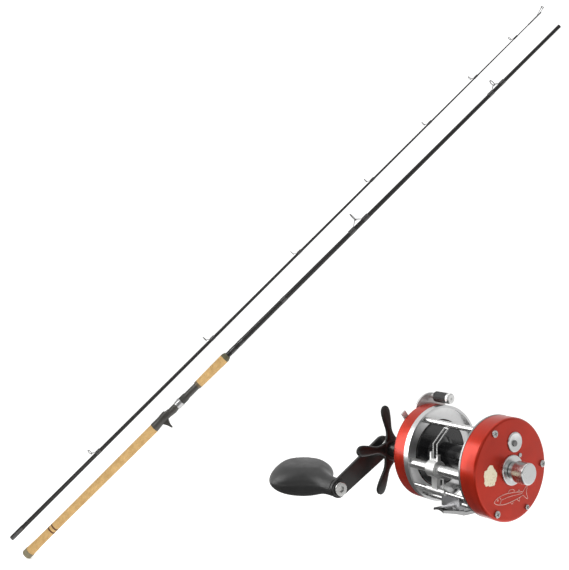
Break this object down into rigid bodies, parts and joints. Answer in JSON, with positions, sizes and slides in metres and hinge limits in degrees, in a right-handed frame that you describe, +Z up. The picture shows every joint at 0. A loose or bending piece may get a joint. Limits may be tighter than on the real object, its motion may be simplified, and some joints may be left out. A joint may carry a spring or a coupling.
{
  "type": "fishing rod and reel set",
  "caption": "Two-piece casting rod with a trigger reel seat and wire guides, laid beside a round multiplier reel with a level-wind, star drag and crank handle.",
  "frame": {"origin": "middle of the rear grip, on the butt section's axis", "axes": "+Z up with the reel upright; the rod sections lie in the XZ plane and rise to the right at about 45 degrees; -Y is the side the reel stands on"},
  "size_m": [1.2663, 1.278, 1.2694],
  "materials": {
    "cap_rubber": "olive, dull",
    "cork": "sanded cork",
    "dark_cork": "darker cork ring",
    "seat_plastic": "dark grey, satin",
    "hood_metal": "polished",
    "nut_plastic": "dark, knurled",
    "trim": "brown, glossy",
    "check_plastic": "olive, dull",
    "blank": "black carbon and glass, clear gloss",
    "guide_frame": "bright wire",
    "ring_ceramic": "dark ceramic",
    "thread_wrap": "black thread under varnish",
    "tip_steel": "bright wire and tube",
    "frame_chrome": "bright plated",
    "rail_steel": "bright plated",
    "foot_metal": "bright plated",
    "block_metal": "cast, plated grey",
    "red_anodised": "red anodised, satin gloss",
    "screw_steel": "bright",
    "cap_chrome": "bright plated",
    "brass": "machined brass",
    "bearing_steel": "ground",
    "spool_black": "black anodised, glossy",
    "shaft_steel": "ground",
    "brake_fibre": "red fibre",
    "lever_chrome": "bright plated",
    "roller_black": "dark, knurled",
    "washer_fibre": "woven fibre and steel",
    "cog_plastic": "off-white",
    "star_black": "black, satin",
    "knob_plastic": "dark grey moulded, satin"
  },
  "bodies": {
    "butt_section": {"butt_cap": "cap_rubber", "rear_grip": "cork", "grip_rings": "dark_cork", "reel_seat": "seat_plastic", "fore_trim": "trim", "fore_grip": "cork", "winding_check": "check_plastic", "butt_blank": "blank", "butt_guides": "guide_frame", "butt_ring_inserts": "ring_ceramic", "butt_wraps": "thread_wrap"},
    "seat_hood": {"seat_hood": "hood_metal"},
    "hood_nut": {"hood_nut": "nut_plastic"},
    "tip_section": {"tip_blank": "blank", "tip_guides": "guide_frame", "tip_ring_inserts": "ring_ceramic", "tip_wraps": "thread_wrap", "tip_top": "tip_steel"},
    "reel_frame": {"gear_frame": "frame_chrome", "palm_frame": "frame_chrome", "pillars": "rail_steel", "guide_rail": "rail_steel", "level_wind_tube": "rail_steel", "foot": "foot_metal", "foot_blocks": "block_metal", "palm_cover": "red_anodised", "cover_screws": "screw_steel", "centre_collar": "cap_chrome", "click_dish": "cap_chrome", "gear_cover": "red_anodised", "bridge_plate": "brass", "spool_bearings": "bearing_steel", "drive_bushing": "brass"},
    "spool": {"spool": "spool_black", "spool_shaft": "shaft_steel", "brake_blocks": "brake_fibre"},
    "clutch_yoke": {"clutch_yoke": "bearing_steel"},
    "pinion": {"pinion": "brass"},
    "clutch_lever": {"clutch_lever": "lever_chrome", "roller_cap": "lever_chrome"},
    "lever_roller": {"lever_roller": "roller_black"},
    "handle": {"drive_shaft": "shaft_steel", "drive_gear": "brass", "drag_washers": "washer_fibre", "ratchet_wheel": "bearing_steel", "level_cog": "cog_plastic", "crank_arm": "star_black", "handle_nut": "screw_steel", "knob_spindle": "screw_steel"},
    "star_drag": {"star_drag": "star_black", "star_insert": "screw_steel"},
    "knob": {"knob": "knob_plastic"},
    "reverse_pawl": {"reverse_pawl": "bearing_steel"},
    "worm": {"worm_shaft": "shaft_steel", "worm_gear": "cog_plastic"},
    "line_guide": {"line_guide": "frame_chrome", "guide_wires": "rail_steel", "guide_pawl": "brass"},
    "tension_cap": {"tension_cap": "cap_chrome"},
    "click_button": {"click_button": "cap_chrome"}
  },
  "joints": [
    {"name": "hood_slide", "type": "slide", "parent": "butt_section", "child": "seat_hood", "axis": [0.7098, 0, 0.7044], "range_m": [0, 0.032]},
    {"name": "hood_nut_turn", "type": "hinge", "parent": "seat_hood", "child": "hood_nut", "pos_m": [0.21082, 0, 0.2092], "axis": [0.7098, 0, 0.7044], "range_deg": [0, 2880]},
    {"name": "tip_section_lift", "type": "slide", "parent": "butt_section", "child": "tip_section", "axis": [0.7092, 0, 0.705], "range_m": [0, 0.1]},
    {"name": "reel_lift", "type": "slide", "parent": "butt_section", "child": "reel_frame", "axis": [0, 0, 1], "range_m": [0, 0.05]},
    {"name": "handle_turn", "type": "hinge", "parent": "reel_frame", "child": "handle", "pos_m": [0.53084, -1.17255, 0.3377], "axis": [0.5519, -0.8339, 0], "continuous": true},
    {"name": "spool_turn", "type": "hinge", "parent": "reel_frame", "child": "spool", "pos_m": [0.5798, -1.2121, 0.3392], "axis": [0.5519, -0.8339, 0], "continuous": true},
    {"name": "clutch_lever_turn", "type": "hinge", "parent": "reel_frame", "child": "clutch_lever", "pos_m": [0.55496, -1.17458, 0.3392], "axis": [-0.5519, 0.8339, 0], "range_deg": [0, 14]},
    {"name": "lever_roller_turn", "type": "hinge", "parent": "clutch_lever", "child": "lever_roller", "pos_m": [0.56631, -1.18266, 0.3814], "axis": [0.5519, -0.8339, 0], "continuous": true},
    {"name": "clutch_yoke_slide", "type": "slide", "parent": "reel_frame", "child": "clutch_yoke", "axis": [-0.5519, 0.8339, 0], "range_m": [0, 0.002]},
    {"name": "pinion_turn", "type": "hinge", "parent": "clutch_yoke", "child": "pinion", "pos_m": [0.56103, -1.18375, 0.3392], "axis": [0.5519, -0.8339, 0], "continuous": true},
    {"name": "star_turn", "type": "hinge", "parent": "handle", "child": "star_drag", "pos_m": [0.52642, -1.16588, 0.3377], "axis": [0.5519, -0.8339, 0], "range_deg": [-270, 270]},
    {"name": "knob_turn", "type": "hinge", "parent": "handle", "child": "knob", "pos_m": [0.45629, -1.14155, 0.30998], "axis": [0.5519, -0.8339, 0], "continuous": true},
    {"name": "reverse_pawl_lift", "type": "hinge", "parent": "reel_frame", "child": "reverse_pawl", "pos_m": [0.53381, -1.19697, 0.3507], "axis": [0.5519, -0.8339, 0], "range_deg": [0, 10]},
    {"name": "worm_turn", "type": "hinge", "parent": "reel_frame", "child": "worm", "pos_m": [0.5537, -1.22938, 0.3357], "axis": [0.5519, -0.8339, 0], "continuous": true},
    {"name": "line_guide_slide", "type": "slide", "parent": "reel_frame", "child": "line_guide", "axis": [0.5519, -0.8339, 0], "range_m": [-0.0135, 0.0185]},
    {"name": "tension_cap_turn", "type": "hinge", "parent": "reel_frame", "child": "tension_cap", "pos_m": [0.6074, -1.25379, 0.3392], "axis": [0.5519, -0.8339, 0], "range_deg": [-180, 180]},
    {"name": "click_button_slide", "type": "slide", "parent": "reel_frame", "child": "click_button", "axis": [0, 0, 1], "range_m": [0, 0.0025]}
  ],
  "couplings": [
    {"joint": "hood_nut_turn", "follows": "hood_slide", "rad_per_m": 1570.8},
    {"joint": "spool_turn", "follows": "handle_turn", "ratio": -4.0714},
    {"joint": "pinion_turn", "follows": "handle_turn", "ratio": -4.0714},
    {"joint": "worm_turn", "follows": "handle_turn", "ratio": -2.8333},
    {"joint": "clutch_yoke_slide", "follows": "clutch_lever_turn", "m_per_rad": 0.0081851}
  ]
}
